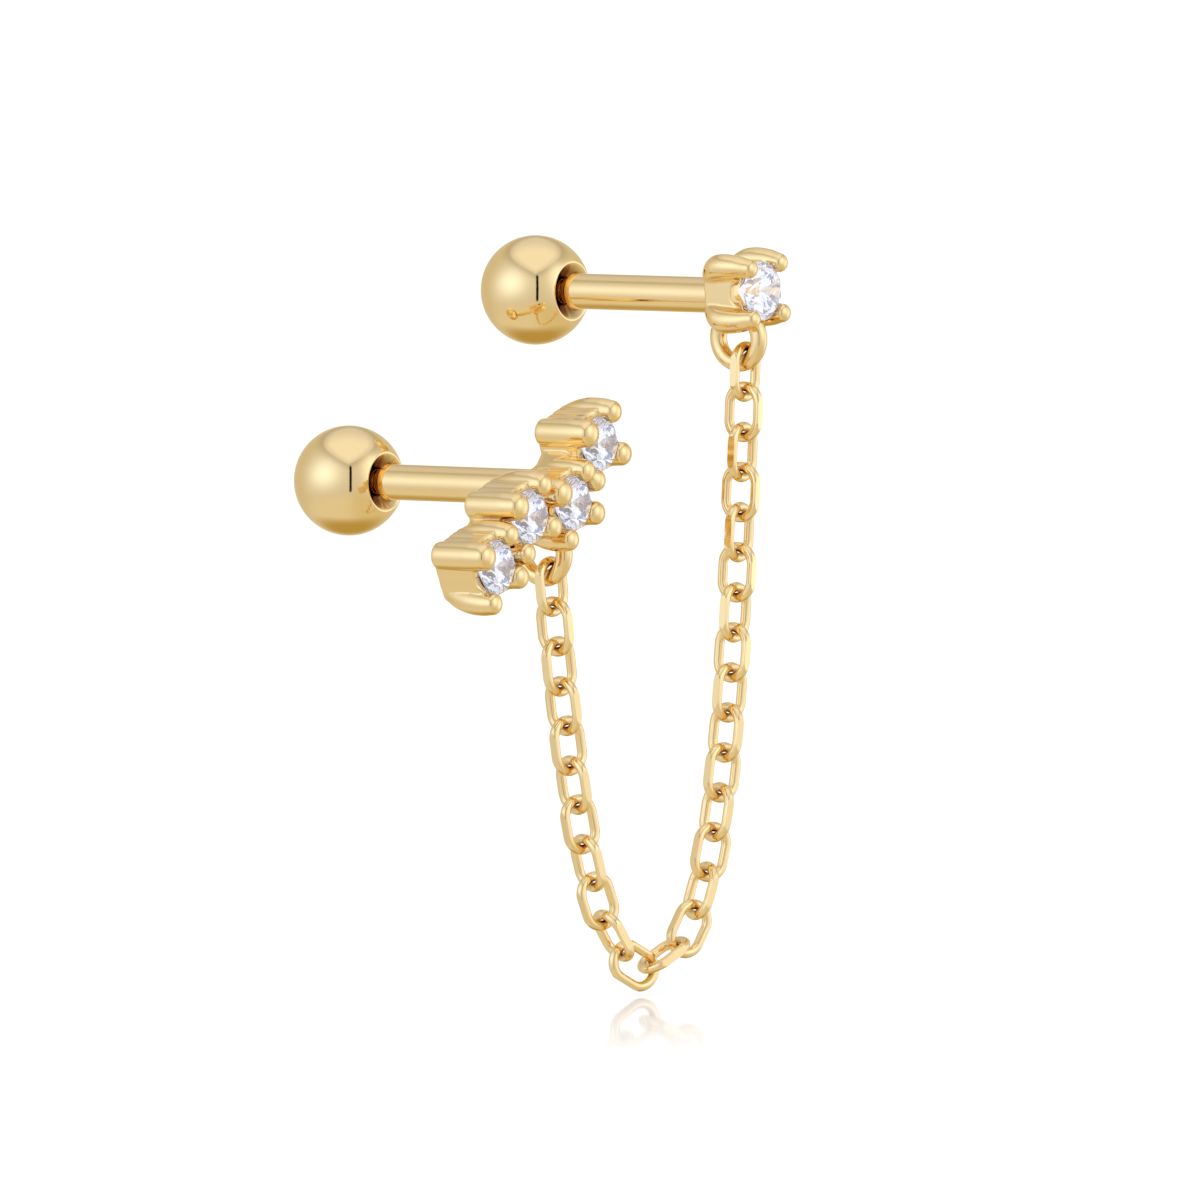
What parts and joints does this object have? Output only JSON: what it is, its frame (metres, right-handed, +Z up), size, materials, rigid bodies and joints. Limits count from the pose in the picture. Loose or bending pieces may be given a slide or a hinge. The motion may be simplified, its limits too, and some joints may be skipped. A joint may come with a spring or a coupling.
{
  "type": "ear chain earring",
  "caption": "Two screw-ball barbell studs, one with a round prong-set stone and one with a zigzag of stones, joined by a hanging cable chain.",
  "frame": {"origin": "middle of the upper post's wearing length, where the ear holds it", "axes": "+Y runs along both posts from the settings to the balls, so the stones face -Y; +Z is up as worn, and +X points away from the lower stud"},
  "size_m": [0.0157, 0.0157, 0.0268],
  "materials": {
    "gold": "polished yellow gold plate",
    "stone": "cut and polished, clear"
  },
  "bodies": {
    "studs_and_chain": {"upper_stud": "gold", "upper_stone": "stone", "lower_stud": "gold", "lower_stone_1": "stone", "lower_stone_2": "stone", "lower_stone_3": "stone", "lower_stone_4": "stone", "link_01": "gold", "link_02": "gold", "link_03": "gold", "link_04": "gold", "link_05": "gold", "link_06": "gold", "link_07": "gold", "link_08": "gold", "link_09": "gold", "link_10": "gold", "link_11": "gold", "link_12": "gold", "link_13": "gold", "link_14": "gold", "link_15": "gold", "link_16": "gold", "link_17": "gold", "link_18": "gold", "link_19": "gold", "link_20": "gold", "link_21": "gold", "link_22": "gold", "link_23": "gold", "link_24": "gold", "link_25": "gold", "link_26": "gold", "link_27": "gold"},
    "upper_ball": {"upper_ball": "gold"},
    "lower_ball": {"lower_ball": "gold"}
  },
  "joints": [
    {"name": "upper_ball_off", "type": "slide", "parent": "studs_and_chain", "child": "upper_ball", "axis": [0, 1, 0], "range_m": [0, 0.01]},
    {"name": "lower_ball_off", "type": "slide", "parent": "studs_and_chain", "child": "lower_ball", "axis": [0, 1, 0], "range_m": [0, 0.01]}
  ]
}
